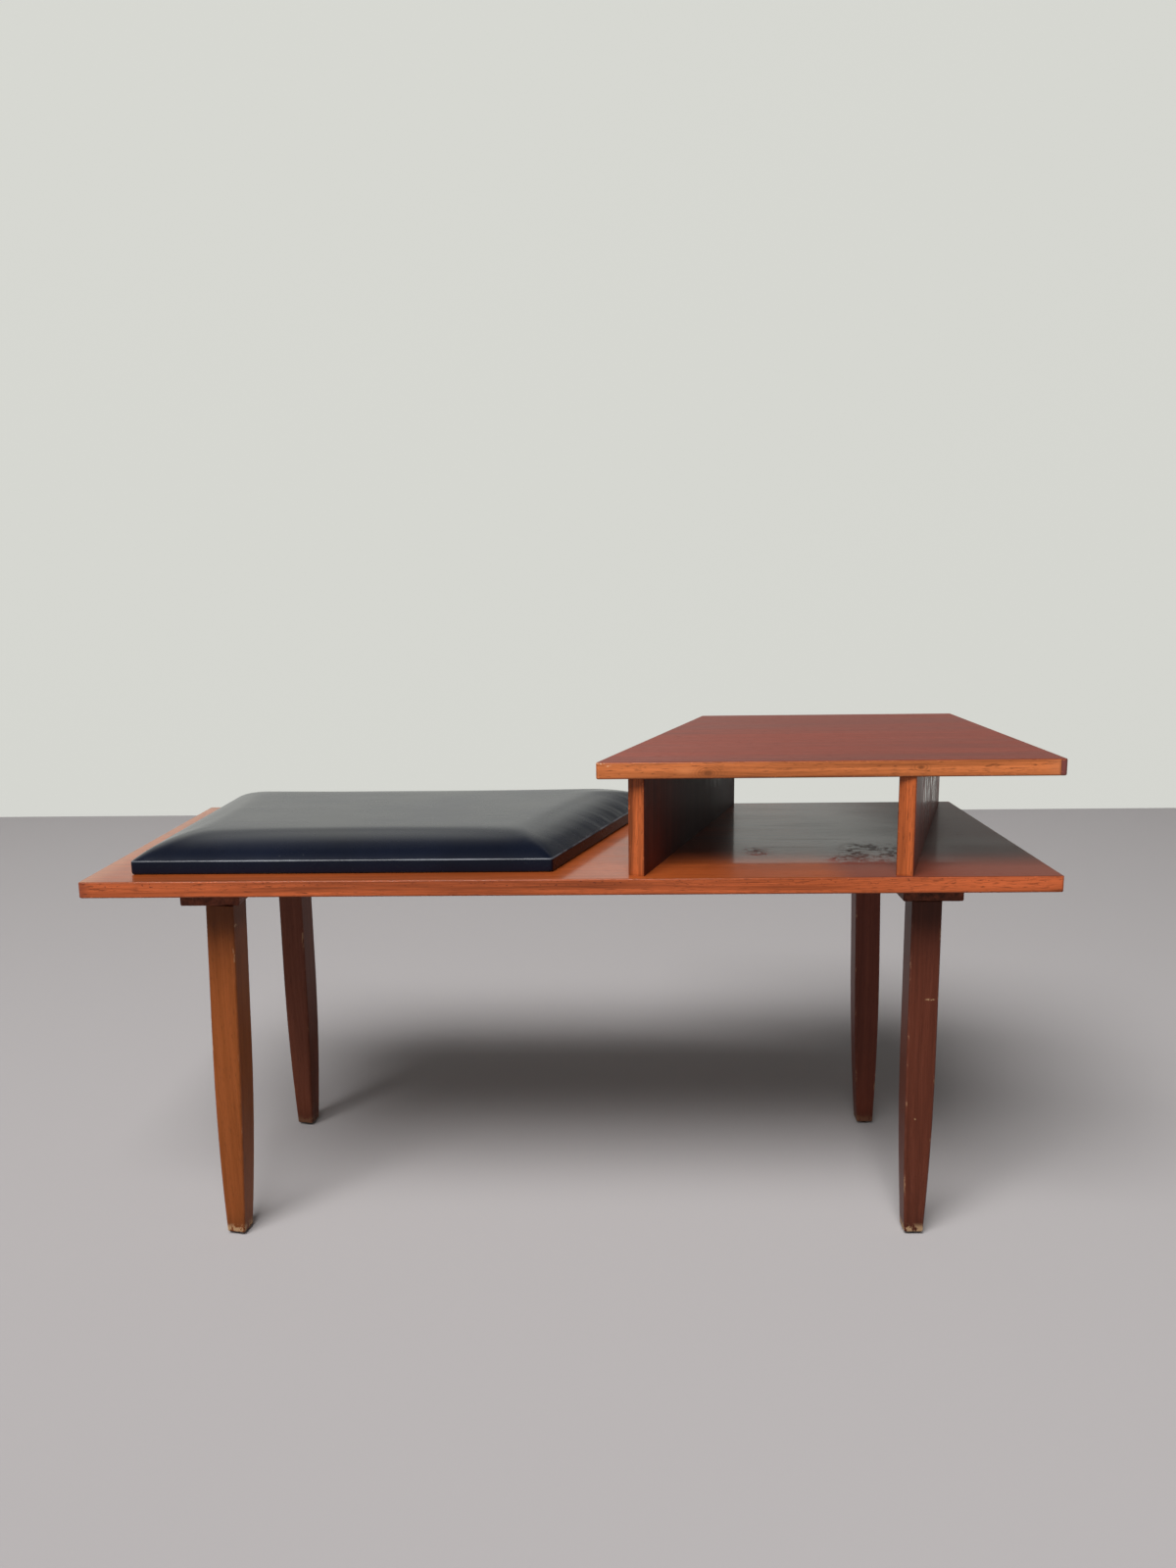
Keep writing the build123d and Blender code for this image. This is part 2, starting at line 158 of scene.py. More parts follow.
class Finish:
    """The nodes of one material, or of the world, under construction."""

    def __init__(self, owner, coordinates="Object"):
        self.owner = owner
        owner.use_nodes = True
        self.tree = owner.node_tree
        self.tree.nodes.clear()
        self.place = self.add("ShaderNodeTexCoord", picks=(coordinates,))[0]

    @classmethod
    def named(cls, name):
        """A finish for a new material."""
        return cls(bpy.data.materials.new(name))

    def add(self, kind, settings=None, values=None, picks=None):
        """One node: settings first, then the values or links of its sockets. Gives its outputs."""
        node = self.tree.nodes.new(kind)
        for name, setting in (settings or {}).items():
            if name == "stops":
                self.set_stops(node.color_ramp, setting)
            else:
                setattr(node, name, setting)
        for name, value in (values or {}).items():
            socket = node.inputs[name]
            if isinstance(value, Value):
                self.tree.links.new(value.socket, socket)
            elif socket.type == "RGBA" and len(value) == 3:
                socket.default_value = (*value, 1)
            else:
                socket.default_value = value
        outputs = [node.outputs[name] for name in picks] if picks else node.outputs
        return [Value(self, output) for output in outputs if output.enabled]

    @staticmethod
    def set_stops(ramp, stops):
        """Gives a colour ramp its positions and colours."""
        for number, (position, colour) in enumerate(stops):
            stop = ramp.elements[number] if number < 2 else ramp.elements.new(position)
            stop.position = position
            stop.color = (*colour, 1)

    def turned(self, angles=(0, 0, 0), shift=(0, 0, 0), scale=(1, 1, 1), place=None):
        """Coordinates that are moved, turned and stretched."""
        values = {
            "Vector": place or self.place,
            "Location": shift,
            "Rotation": angles,
            "Scale": scale,
        }
        return self.add("ShaderNodeMapping", {"vector_type": "POINT"}, values)[0]

    def apart(self, place=None):
        """The three coordinates of a place."""
        return self.add("ShaderNodeSeparateXYZ", values={"Vector": place or self.place})

    def together(self, x, y, z):
        """A place from its three coordinates."""
        return self.add("ShaderNodeCombineXYZ", values={"X": x, "Y": y, "Z": z})[0]

    def noise(self, scale, detail=2.0, roughness=0.5, distortion=0.0, place=None):
        """Soft noise from 0 to 1."""
        values = {
            "Vector": place or self.place,
            "Scale": scale,
            "Detail": detail,
            "Roughness": roughness,
            "Distortion": distortion,
        }
        return self.add("ShaderNodeTexNoise", values=values, picks=("Fac",))[0]

    def streaks(self, stretch, *details, place=None):
        """Noise that repeats at its own pitch, per metre, along each axis."""
        return self.noise(1.0, *details, place=self.turned(scale=stretch, place=place))

    def cells(self, scale, feature="F1", pick="Distance", place=None):
        """A pattern of scattered cells."""
        values = {"Vector": place or self.place, "Scale": scale}
        return self.add("ShaderNodeTexVoronoi", {"feature": feature}, values, (pick,))[0]

    def mixed(self, share, first, second):
        """Two colours, mixed by a share."""
        values = {0: share, 6: first, 7: second}
        return self.add("ShaderNodeMix", {"data_type": "RGBA"}, values)[0]

    def ramp(self, value, stops):
        """A colour for each value."""
        return self.add("ShaderNodeValToRGB", {"stops": stops}, {"Fac": value}, ("Color",))[0]

    def bump(self, height, distance, strength):
        """A normal from a height."""
        values = {"Height": height, "Distance": distance, "Strength": strength}
        return self.add("ShaderNodeBump", values=values)[0]

    def near(self, centre, radii):
        """1 in the middle of a soft spot, falling to 0 at its radii."""
        parts = [
            (part - middle) / radius
            for part, middle, radius in zip(self.apart(), centre, radii)
        ]
        across, deep, high = [part * part for part in parts]
        return (across + deep + high).root().rise(1, 0)

    def done(self, **values):
        """Closes the material with one shader and gives it back."""
        named = {name.replace("_", " "): value for name, value in values.items()}
        shader = self.add("ShaderNodeBsdfPrincipled", values=named)[0]
        self.add("ShaderNodeOutputMaterial", values={"Surface": shader})
        return self.owner


def edge_distance(finish, place, low, high):
    """How far a point on a box is from the nearest edge of that box."""
    across, deep, tall = [
        (part - least).least(most - part)
        for part, least, most in zip(finish.apart(place), low, high)
    ]
    return across.least(deep).most(across.most(deep).least(tall))


def dress(node, material):
    """Gives a CAD node its material."""
    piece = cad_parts[node]
    if not piece.data.materials:
        piece.data.materials.append(material)
    for slot in piece.material_slots:
        slot.link = "DATA"
        slot.material = material


# ------------ settings


def stain_setting(name, pieces, default):
    """The colour of some of the bench's wood."""
    return FloatVectorProperty(
        name=name, description=f"Stain of {pieces}", subtype="COLOR",
        default=default, min=0, max=1,
    )


def length_setting(name, description, default, least, most):
    """A length of the pad."""
    return FloatProperty(
        name=name, description=description, subtype="DISTANCE",
        default=default, min=least, max=most, precision=4,
    )


class WoodSettings(PropertyGroup):
    """The stain of each kind of piece, and the lacquer."""

    shelf_top: stain_setting("Shelf top", "the shelf's veneer", tone(126, 56, 41))
    shelf_edge: stain_setting("Shelf edge", "the shelf's lippings", tone(178, 100, 54))
    seat_top: stain_setting("Seat board top", "the seat board's veneer", tone(154, 74, 32))
    seat_edge: stain_setting("Seat board edge", "the seat board's lippings", tone(170, 83, 44))
    # darker than the veneer really is: painted shade of the faces inside the compartment
    upright_face_painted_shade: stain_setting("Upright face", "the uprights' veneers", tone(92, 38, 24))
    upright_edge: stain_setting("Upright edge", "the uprights' lippings", tone(171, 85, 41))
    bearer: stain_setting("Bearers", "the bearers", tone(112, 58, 38))
    front_left_leg: stain_setting("Front left leg", "the front left leg", tone(130, 68, 28))
    front_right_leg: stain_setting("Front right leg", "the front right leg", tone(95, 47, 32))
    back_left_leg: stain_setting("Back left leg", "the back left leg", tone(104, 54, 36))
    back_right_leg: stain_setting("Back right leg", "the back right leg", tone(108, 54, 40))
    gloss: FloatProperty(
        name="Roughness", description="Roughness of the lacquer", subtype="FACTOR",
        default=0.38, min=0.05, max=1,
    )


class PadSettings(PropertyGroup):
    """The pad's form and colour."""

    colour: FloatVectorProperty(
        name="Vinyl", description="Colour of the vinyl", subtype="COLOR",
        default=tone(8, 14, 29), min=0, max=1,
    )
    crown: length_setting("Crown", "Rise of the pad above its crease", 22 * MM, 0, 0.1)
    slope: length_setting("Slope", "Width of the rounded border", 75 * MM, 0.01, 0.15)
    swell: length_setting("Swell", "Most that the foam lifts the vinyl", 0.8 * MM, 0, 0.03)
    pressure: FloatProperty(
        name="Pressure", description="Pressure of the foam on the vinyl",
        default=4, min=0, max=20,
    )
    steps: IntProperty(
        name="Steps", description="Simulation steps", default=20, min=2, max=60,
    )


class StageSettings(PropertyGroup):
    """The room and its light."""

    floor: FloatVectorProperty(
        name="Floor", description="Colour of the floor", subtype="COLOR",
        default=tone(169, 165, 165), min=0, max=1,
    )
    backdrop: FloatVectorProperty(
        name="Backdrop", description="Colour of the backdrop", subtype="COLOR",
        default=tone(216, 217, 211), min=0, max=1,
    )
    key: FloatProperty(
        name="Key light", description="Power of the long light in front", subtype="POWER",
        default=325, min=0, max=2000,
    )
    fill: FloatProperty(
        name="Fill", description="Strength of the light from all round",
        default=0.18, min=0, max=2,
    )


# ------------ wood


GRAIN_ALONG = {             # turns that bring each direction of the grain to X
    "x": (0, 0, 0),
    "y": (0, 0, math.radians(90)),
    "z": (0, math.radians(90), 0),
    "slant": (0, 0, SLANT - math.radians(90)),
}
GRAIN_SHIFT = (1.7, 0.31, 0.47)     # how far each unit of a seed moves the grain
FIGURE_STOPS = (0.38, 0.50, 0.62)   # where the figure is dark, middling and light
RIM = (2.4 * MM, 0.5 * MM)          # from an edge to where its wear starts and is full
GRAIN_BUMP = 0.12 * MM


@dataclass
class Stain:
    """What sets one piece's wood apart."""

    colour: tuple
    along: str          # direction of the grain
    seed: float         # moves the grain, so that no two pieces have the same
    roughness: float
    sheen: float = 0.2  # reflection of the wood below its lacquer
    coat: float = 0.0   # thickness of the lacquer
    pores: float = 1.0
    worn: float = 0.5   # chips at the edges
    figure: float = 1.0


def grain_layers(finish, stain):
    """The layers of the grain: broad figure, growth lines, fibre, pores and flecks."""
    shift = [part * stain.seed for part in GRAIN_SHIFT]
    grain = finish.turned(angles=GRAIN_ALONG[stain.along], shift=shift)
    wander = (finish.streaks((2.2, 7, 7), place=grain) - 0.5) * 0.022
    lengthways, across, through = finish.apart(grain)
    place = finish.together(lengthways, across + wander, through + wander * 0.7)
    broad = finish.streaks((1.6, 13, 13), 3.0, place=place)
    lines = finish.streaks((3.5, 170, 170), 3.0, 0.62, place=place)
    fibre = finish.streaks((22, 900, 900), place=place)
    flecks = finish.streaks((80, 620, 620), 2.0, 0.6, place=place)
    dashes = finish.streaks((75, 1900, 1900), 1.0, place=place)
    pores = dashes.rise(0.60, 0.70) * lines.rise(0.35, 0.60) * stain.pores
    flecks = flecks.rise(0.60, 0.72) * broad.rise(0.30, 0.60) * stain.pores
    return broad, lines, fibre, pores, flecks


def edge_wear(finish, stain, box, shade, roughness):
    """Darkens a box's edges and chips their stain."""
    low, high, angle = box
    place = finish.turned(angles=(0, 0, angle))
    rim = edge_distance(finish, place, low, high).rise(*RIM)
    chips = rim * finish.noise(260, 3.0, 0.65).rise(0.60, 0.68) * stain.worn
    shade = finish.mixed(rim * 0.35, shade, darker(stain.colour, 0.40))
    shade = finish.mixed(chips, shade, lighter(stain.colour))
    return shade, roughness + chips * 0.25


def finish_wood(node, stain, box=None, marks=(), lacquer=None):
    """Gives a node lacquered wood with marks of its own, and worn edges if its box is given."""
    finish = Finish.named(node)
    broad, lines, fibre, pores, flecks = grain_layers(finish, stain)
    colours = (
        darker(stain.colour, 1 - 0.62 * stain.figure),
        stain.colour,
        lighter(stain.colour, 1 + 0.55 * stain.figure, 0.003),
    )
    shade = finish.ramp(broad * 0.34 + lines * 0.48 + fibre * 0.18, zip(FIGURE_STOPS, colours))
    shade = finish.mixed(pores * 0.6, shade, darker(stain.colour, 0.24))
    shade = finish.mixed(flecks * 0.65, shade, darker(stain.colour, 0.30))
    roughness = (broad - 0.5) * 0.16 + pores * 0.14 + stain.roughness
    height = lines * 0.35 + fibre * 0.25 - pores * 0.6 - flecks * 0.3
    for mark in marks:
        shade, roughness = mark(finish, shade, roughness, lines)
    if box:
        shade, roughness = edge_wear(finish, stain, box, shade, roughness)
    material = finish.done(
        Base_Color=shade,
        Roughness=roughness,
        Normal=finish.bump(height, GRAIN_BUMP, 0.55),
        Coat_Weight=lacquer(finish, stain.coat) if lacquer else stain.coat,
        Coat_Roughness=0.12,
        Specular_IOR_Level=stain.sheen,
    )
    dress(node, material)


def finish_particle_board(node):
    """Gives a node pressed wood chips."""
    finish = Finish.named(node)
    chips = finish.cells(420, pick="Color", place=finish.turned(scale=(1, 1, 3.5)))
    tint = finish.add("ShaderNodeSeparateColor", values={"Color": chips})[0]
    dust = finish.noise(2600, 3.0)
    stops = [(0.0, tone(120, 88, 56)), (0.5, tone(172, 136, 92)), (1.0, tone(206, 174, 126))]
    material = finish.done(
        Base_Color=finish.ramp(tint * 0.75 + dust * 0.25, stops),
        Roughness=0.82 + dust * 0.1,
        Normal=finish.bump(tint + dust * 0.4, 0.25 * MM, 0.6),
    )
    dress(node, material)


# ------------ marks on the wood
# Each gives a function that changes a wood's colour and roughness; lines are its growth lines.


def scratches(finish, centre, radii, along, across):
    """A patch of scratches, at a pitch along and across X."""
    tears = finish.streaks((along, across, across), 4.0, 0.72, 0.8)
    specks = finish.noise(across * 2.6, 3.0, 0.7)
    torn = (tears * 0.6 + specks * 0.4).rise(0.475, 0.53)
    return finish.near(centre, radii).rise(0.0, 0.5) * torn


def spot_mark(centre, radii, colour, strength, pitches=None, dull=0.0):
    """A soft spot of another colour, or a patch of scratches if their pitches are given."""
    def apply(finish, shade, roughness, lines):
        if pitches:
            mask = scratches(finish, centre, radii, *pitches) * strength
        else:
            mask = finish.near(centre, radii) * strength
        return finish.mixed(mask, shade, colour), roughness + mask * dull
    return apply


def knot(centre, radius, colour):
    """A small knot: a dark eye with rings that fade outwards."""
    def apply(finish, shade, roughness, lines):
        x, y, z = [part - middle for part, middle in zip(finish.apart(), centre)]
        reach = ((x * 0.6) ** 2 + y ** 2 + z ** 2).root()
        rings = ((reach + lines * 0.0012) * 3200).math("SINE") * 0.5 + 0.5
        halo = reach.rise(radius * 3.2, radius * 0.8)
        eye = reach.rise(radius, radius * 0.35)
        mask = (halo * rings * 0.45).most(eye * 0.8)
        return finish.mixed(mask, shade, darker(colour, 0.38)), roughness
    return apply


def band_mark(axis, start, end, colour, strength, ragged=0.0):
    """A tint that grows along one axis from start to end, with a ragged border if asked."""
    def apply(finish, shade, roughness, lines):
        part = finish.apart()[axis]
        if ragged:
            part = part + (finish.noise(420, 3.0, 0.6) - 0.5) * ragged
        return finish.mixed(part.rise(start, end) * strength, shade, colour), roughness
    return apply


def fleck_mark(box, scale, colour, cut, strength=0.8):
    """Small flecks inside a box."""
    def apply(finish, shade, roughness, lines):
        flecks = finish.noise(scale, 2.0, 0.6, place=finish.turned(scale=(0.45, 1, 1)))
        mask = flecks.rise(cut, cut + 0.05) * strength
        for part, (low, high) in zip(finish.apart(), box):
            mask = part.rise(low - 1 * MM, low) * part.rise(high + 1 * MM, high) * mask
        return finish.mixed(mask, shade, colour), roughness
    return apply


# ------------ seat board, shelf and uprights


END_GRAIN = tone(112, 62, 62)
SEAT_TOP = corners_of("seat_board_top_veneer")[1].z
SHELF_FACE = corners_of("shelf_front_lipping")[0].y
SCRATCHED = (               # centre, radii and pitches of each scratched patch under the shelf
    ((0.335, -0.095, SEAT_TOP), (0.056, 0.076, 0.01), (55, 62)),
    ((0.300, -0.125, SEAT_TOP), (0.034, 0.032, 0.01), (60, 90)),
    ((0.2075, -0.085, SEAT_TOP), (0.026, 0.028, 0.01), (60, 130)),
)
RUNS = {                    # of lacquer on each upright: start and end in depth, and foot
    "left": (0.02, 0.14, 0.455),
    "right": (-0.17, -0.08, 0.415),
}


def worn_lacquer(finish, coat):
    """The seat board's lacquer: sunk into the grain, thin on the right, rubbed or scratched."""
    x, y, _ = finish.apart()
    patches = (finish.noise(9, 3.0, place=finish.turned(scale=(1, 3, 3))) - 0.5) * 0.05
    frayed = (finish.streaks((12, 70, 70), 3.0, 0.6) - 0.5) * 0.012
    sunk = finish.streaks((6, 135, 135), 3.0, 0.65).rise(0.50, 0.62) * 0.26
    thin = (x + patches).rise(0.30, 0.44) * 0.84
    rubbed = (y + frayed).rise(-0.132, -0.142) * x.rise(0.055, 0.075) * 0.92
    gone = thin.most(rubbed)
    for centre, radii, pitches in SCRATCHED:
        gone = gone.most(scratches(finish, centre, radii, *pitches) * 0.72)
    return coat * (1 - gone.most(sunk))


def runs_of_lacquer(start, end, foot):
    """Runs of thick lacquer down an upright, towards its back end and above a height."""
    def weight(finish, coat):
        _, y, z = finish.apart()
        upright = finish.turned(scale=(1, 1, 0.22))
        slanted = finish.turned(angles=(0.7, 0.4, 0), scale=(1, 1, 0.3))
        streaks = finish.noise(110, 3.0, 0.6, 0.6, place=upright)
        crossing = finish.noise(85, 2.0, 0.6, 0.4, place=slanted)
        back = y.rise(start, end) * z.rise(foot, foot + 0.06)
        return coat + streaks.most(crossing).rise(0.54, 0.68) * back * 0.75
    return weight


def seat_top_marks():
    """Scratches, a painted shade strip in the compartment, a rubbed left end and a painted shadow
    over the right end.
    """
    scratched = [
        spot_mark(centre, radii, tone(228, 88, 64), 0.8, pitches, 0.2)
        for centre, radii, pitches in SCRATCHED
    ]
    return [
        *scratched,
        # painted shade over the front strip of the compartment
        spot_mark((0.190, -0.172, SEAT_TOP), (0.150, 0.045, 0.01), tone(112, 48, 24), 0.40),
        band_mark(X, -0.470, -0.500, tone(206, 158, 120), 0.25, 0.02),
        # painted shadow of the shelf over the seat board's right end
        band_mark(X, 0.255, 0.300, tone(110, 52, 38), 0.88),
    ]


def seat_front_marks():
    """Dark flecks below the front lipping's upper edge, and a darker left end."""
    below_rim = ((-0.5, 0.5), (-0.21, -0.19), (SEAT_TOP - 6 * MM, SEAT_TOP - 1 * MM))
    return [
        fleck_mark(below_rim, 520, tone(72, 26, 18), 0.62),
        band_mark(X, -0.484, -0.500, tone(110, 52, 38), 0.6, 0.01),
    ]


def shelf_front_marks(stain):
    """Two knots, a pale spot, a paler right end, and chips at the left corner."""
    left_corner = ((0.03, 0.045), (-0.21, -0.19), (0.5455, 0.549))
    return [
        knot((0.1420, SHELF_FACE, 0.5375), 4.2 * MM, stain),
        spot_mark((0.120, SHELF_FACE, 0.5405), (0.016, 0.01, 0.006), tone(214, 132, 80), 0.5),
        knot((0.3522, SHELF_FACE, 0.5416), 2.6 * MM, stain),
        band_mark(X, 0.470, 0.488, tone(200, 120, 76), 0.5, 0.01),
        fleck_mark(left_corner, 300, tone(236, 190, 150), 0.56, 0.9),
    ]


def finish_board(board, seed, gloss, top, edge, left_grain, marks):
    """A board's underside, core and four lippings, with the marks of each side."""
    under = Stain(darker(top, 0.62), "x", seed + 0.8, 0.55, coat=0.05, pores=0.9)
    finish_wood(f"{board}_underside_veneer", under)
    finish_particle_board(f"{board}_core")
    grain = {"front": "x", "back": "x", "left": left_grain, "right": "y"}
    for number, (side, along) in enumerate(grain.items()):
        node = f"{board}_{side}_lipping"
        stain = Stain(
            edge, along, seed + 3 + number, gloss, coat=0.12, pores=1.3, worn=0.7, figure=0.85,
        )
        box = boxed(node, SLANT if along == "slant" else 0)
        finish_wood(node, stain, box, marks.get(side, ()))


class BENCH_OT_panels(Operator):
    """Finish the seat board and the shelf."""

    bl_idname = "bench.panels"
    bl_label = "Finish the boards"

    def execute(self, context):
        wood = context.scene.bench_wood
        gloss = wood.gloss
        seat, shelf = "seat_board_top_veneer", "shelf_top_veneer"
        stain = Stain(
            wood.seat_top, "x", 1.3, gloss,
            sheen=0.12, coat=0.65, pores=0.9, worn=0.25, figure=0.5,
        )
        finish_wood(seat, stain, boxed(seat), seat_top_marks(), worn_lacquer)
        stain = Stain(
            wood.shelf_top, "x", 3.4, gloss, sheen=0.045, coat=0.02, pores=0.9, figure=0.5,
        )
        finish_wood(shelf, stain)
        ends = [band_mark(X, 0.4985, 0.4995, END_GRAIN, 0.5)]
        marks = {"front": seat_front_marks(), "back": ends}
        finish_board("seat_board", 1.3, gloss, wood.seat_top, wood.seat_edge, "y", marks)
        ends = [band_mark(Y, end * 0.196, end * 0.198, END_GRAIN, 0.9) for end in (-1, 1)]
        marks = {"front": shelf_front_marks(wood.shelf_edge), "right": ends}
        finish_board("shelf", 3.4, gloss, wood.shelf_top, wood.shelf_edge, "slant", marks)
        return {"FINISHED"}


class BENCH_OT_uprights(Operator):
    """Finish the two uprights between the seat board and the shelf."""

    bl_idname = "bench.uprights"
    bl_label = "Finish the uprights"

    def execute(self, context):
        wood = context.scene.bench_wood
        # Lit and shaded copies of one veneer: the faces inside the compartment keep the dark stain
        # as painted shade, the outer faces get one twice as light as painted light, and unlit adds
        # painted shade towards the back of the compartment.
        painted_shade_stain = Stain(wood.upright_face_painted_shade, "z", 0, 0.5, sheen=0.06, pores=0.7, figure=0.7)
        painted_light_colour = lighter(wood.upright_face_painted_shade, 2.0, 0)
        painted_light_stain = Stain(painted_light_colour, "z", 0, 0.5, sheen=0.08, coat=0.10, pores=0.7, figure=0.7)
        unlit = band_mark(Y, -0.150, -0.010, darker(wood.upright_face_painted_shade, 0.40), 0.80, 0.05)
        for number, (side, runs) in enumerate(RUNS.items()):
            seed = 7.4 + 3.3 * number
            for share, face in enumerate(("left", "right")):
                stain, marks = (painted_light_stain, []) if face == side else (painted_shade_stain, [unlit])
                stain.seed = seed + share
                node = f"{side}_upright_{face}_veneer"
                finish_wood(node, stain, None, marks, runs_of_lacquer(*runs))
            for share, end in enumerate(("front", "back"), 2):
                node = f"{side}_upright_{end}_lipping"
                stain = Stain(
                    wood.upright_edge, "z", seed + share, wood.gloss,
                    coat=0.1, pores=1.2, worn=0.6,
                )
                finish_wood(node, stain, boxed(node, SLANT))
            finish_particle_board(f"{side}_upright_core")
        return {"FINISHED"}


# ------------ legs and bearers


LEG_HALF_TOP = 16 * MM
LEG_HALF_FOOT = 10.5 * MM
LEG_STRAIGHT = 165 * MM
LEG_FRONT = -143 * MM       # the front legs' faces
LEG_ARRIS = (2.6 * MM, 0.6 * MM)    # from an arris to where its wear starts and is full
LEG_STANCES = {             # X at the top, lean towards +X and turn about its axis, in degrees
    "front_left_leg": (-0.3740, -1.3, -10),
    "front_right_leg": (0.3800, 0.1, 0),
    "back_left_leg": (-0.3750, 0.2, -12),
    "back_right_leg": (0.3775, 1.0, 0),
}
LEG_DENTS = {               # centre, radii and strength of each dent
    "front_left_leg": [((-0.3600, LEG_FRONT, 0.3655), (1.6 * MM, 8 * MM, 3.2 * MM), 0.7)],
    "front_right_leg": [
        ((0.3867, LEG_FRONT, 0.2791), (7 * MM, 3 * MM, 1.6 * MM), 0.5),
        ((0.3761, LEG_FRONT, 0.1416), (1.6 * MM, 3 * MM, 2.2 * MM), 0.5),
        ((0.3850, LEG_FRONT, 0.0130), (5 * MM, 5 * MM, 5 * MM), 0.9),
    ],
}
BARE_WOOD = tone(206, 170, 128)


def leg_wear(node, colour):
    """Rubbed arrises, a painted shadow at the top, a grimy and chipped foot, and the leg's own
    dents.
    """
    low, high = corners_of(node)
    middle_x, lean, turn = LEG_STANCES[node]
    middle_y = (low.y + high.y) / 2
    slide = math.tan(math.radians(lean))
    taper_top = high.z - LEG_STRAIGHT
    scuffed = 1.0 if node.startswith("front") else 0.2

    def apply(finish, shade, roughness, lines):
        x, y, z = finish.apart()
        centred = finish.together(x - middle_x - (high.z - z) * slide, y - middle_y, 0)
        own = finish.turned(angles=(0, 0, math.radians(-turn)), place=centred)
        across, deep, _ = finish.apart(own)
        below = (taper_top - z).most(0) / (taper_top - low.z)
        half = LEG_HALF_TOP - (LEG_HALF_TOP - LEG_HALF_FOOT) * below * below
        arris = (half - abs(across)).most(half - abs(deep)).rise(*LEG_ARRIS)
        rub = finish.noise(120, 4.0, 0.7, place=finish.turned(scale=(1, 1, 0.35)))
        chips = finish.noise(170, 4.0, 0.7, place=finish.turned(scale=(1, 1, 0.6)))
        foot = z.rise(low.z + 13 * MM, low.z + 4 * MM) * (arris * 0.4 + 0.6) * scuffed
        chipped = foot * chips.rise(0.45, 0.50)
        # painted shadow: the top of the leg is darkened where the seat board shades it
        painted_top_shadow = z.rise(high.z - 40 * MM, high.z - 12 * MM)
        grime = z.rise(low.z + 30 * MM, low.z)
        shade = finish.mixed(arris * rub.rise(0.42, 0.7) * 0.55, shade, lighter(colour))
        shade = finish.mixed(arris * rub.rise(0.60, 0.66) * 0.45, shade, BARE_WOOD)
        # darkens the top of the leg as painted shadow
        shade = finish.mixed(painted_top_shadow * 0.55, shade, darker(colour, 0.30))
        shade = finish.mixed(grime * 0.45, shade, darker(colour, 0.35))
        shade = finish.mixed(chipped, shade, BARE_WOOD)
        return shade, roughness + chipped * 0.3
    dents = [
        spot_mark(centre, radii, BARE_WOOD, strength, (160, 160))
        for centre, radii, strength in LEG_DENTS.get(node, ())
    ]
    return [apply, *dents]


class BENCH_OT_underframe(Operator):
    """Finish the legs and the bearers that carry them."""

    bl_idname = "bench.underframe"
    bl_label = "Finish the legs and bearers"

    def execute(self, context):
        wood = context.scene.bench_wood
        for number, node in enumerate(LEG_STANCES):
            stain = Stain(
                getattr(wood, node), "z", 14.2 + 1.9 * number, 0.42,
                sheen=0.16, coat=0.06, pores=0.5, figure=0.42,
            )
            finish_wood(node, stain, None, leg_wear(node, stain.colour))
        for number, node in enumerate(("left_bearer", "right_bearer")):
            stain = Stain(
                wood.bearer, "y", 24.5 + number, 0.5, sheen=0.15, coat=0.05, worn=0.4,
            )
            finish_wood(node, stain, boxed(node))
        return {"FINISHED"}


# ------------ fittings


STEEL = tone(168, 166, 160)
RUST = tone(96, 58, 38)
METALS = {                  # finish, colour, roughness, share of tarnish and its colour
    "bearer_screws": ("zinc_screw", STEEL, 0.34, 0.3, tone(110, 104, 96)),
    "pad_screws": ("pad_screw", STEEL, 0.34, 0.35, RUST),
    "hanger_bolts": ("bolt_steel", tone(150, 148, 144), 0.36, 0.35, RUST),
    "threaded_inserts": ("insert_brass", tone(196, 160, 90), 0.3, 0.3, tone(120, 92, 52)),
    "foot_glides": ("glide_steel", tone(66, 56, 50), 0.42, 0.6, tone(52, 36, 30)),
    "pad_staples": ("staple_wire", tone(180, 178, 172), 0.3, 0.15, RUST),
}


def metal(name, colour, roughness, tarnish, tarnish_colour):
    """Dull metal with tarnish in patches and fine turning marks."""
    finish = Finish.named(name)
    patches = finish.noise(180, 4.0, 0.65)
    marks = finish.noise(900, 2.0, place=finish.turned(scale=(1, 1, 14)))
    aged = patches.rise(0.62 - tarnish * 0.3, 0.80 - tarnish * 0.3)
    return finish.done(
        Base_Color=finish.mixed(aged, colour, tarnish_colour),
        Roughness=roughness + aged * 0.3 + marks * 0.08,
        Metallic=1 - aged * 0.55,
        Normal=finish.bump(marks * 0.4 + patches * 0.6, 0.05 * MM, 0.5),
    )


class BENCH_OT_fittings(Operator):
    """Finish the dowels, screws, bolts, inserts, staples, glides and the pad's base board."""

    bl_idname = "bench.fittings"
    bl_label = "Finish the fittings"

    def execute(self, context):
        for node, looks in METALS.items():
            dress(node, metal(*looks))
        for number, node in enumerate(("seat_to_upright_dowels", "upright_to_shelf_dowels")):
            pale = Stain(tone(208, 172, 122), "z", 30 + number, 0.62, sheen=0.3, pores=0.5)
            finish_wood(node, pale)
        finish_wood("pad_base_board", Stain(tone(196, 158, 110), "x", 33, 0.7, sheen=0.3))
        return {"FINISHED"}


# ------------ pad


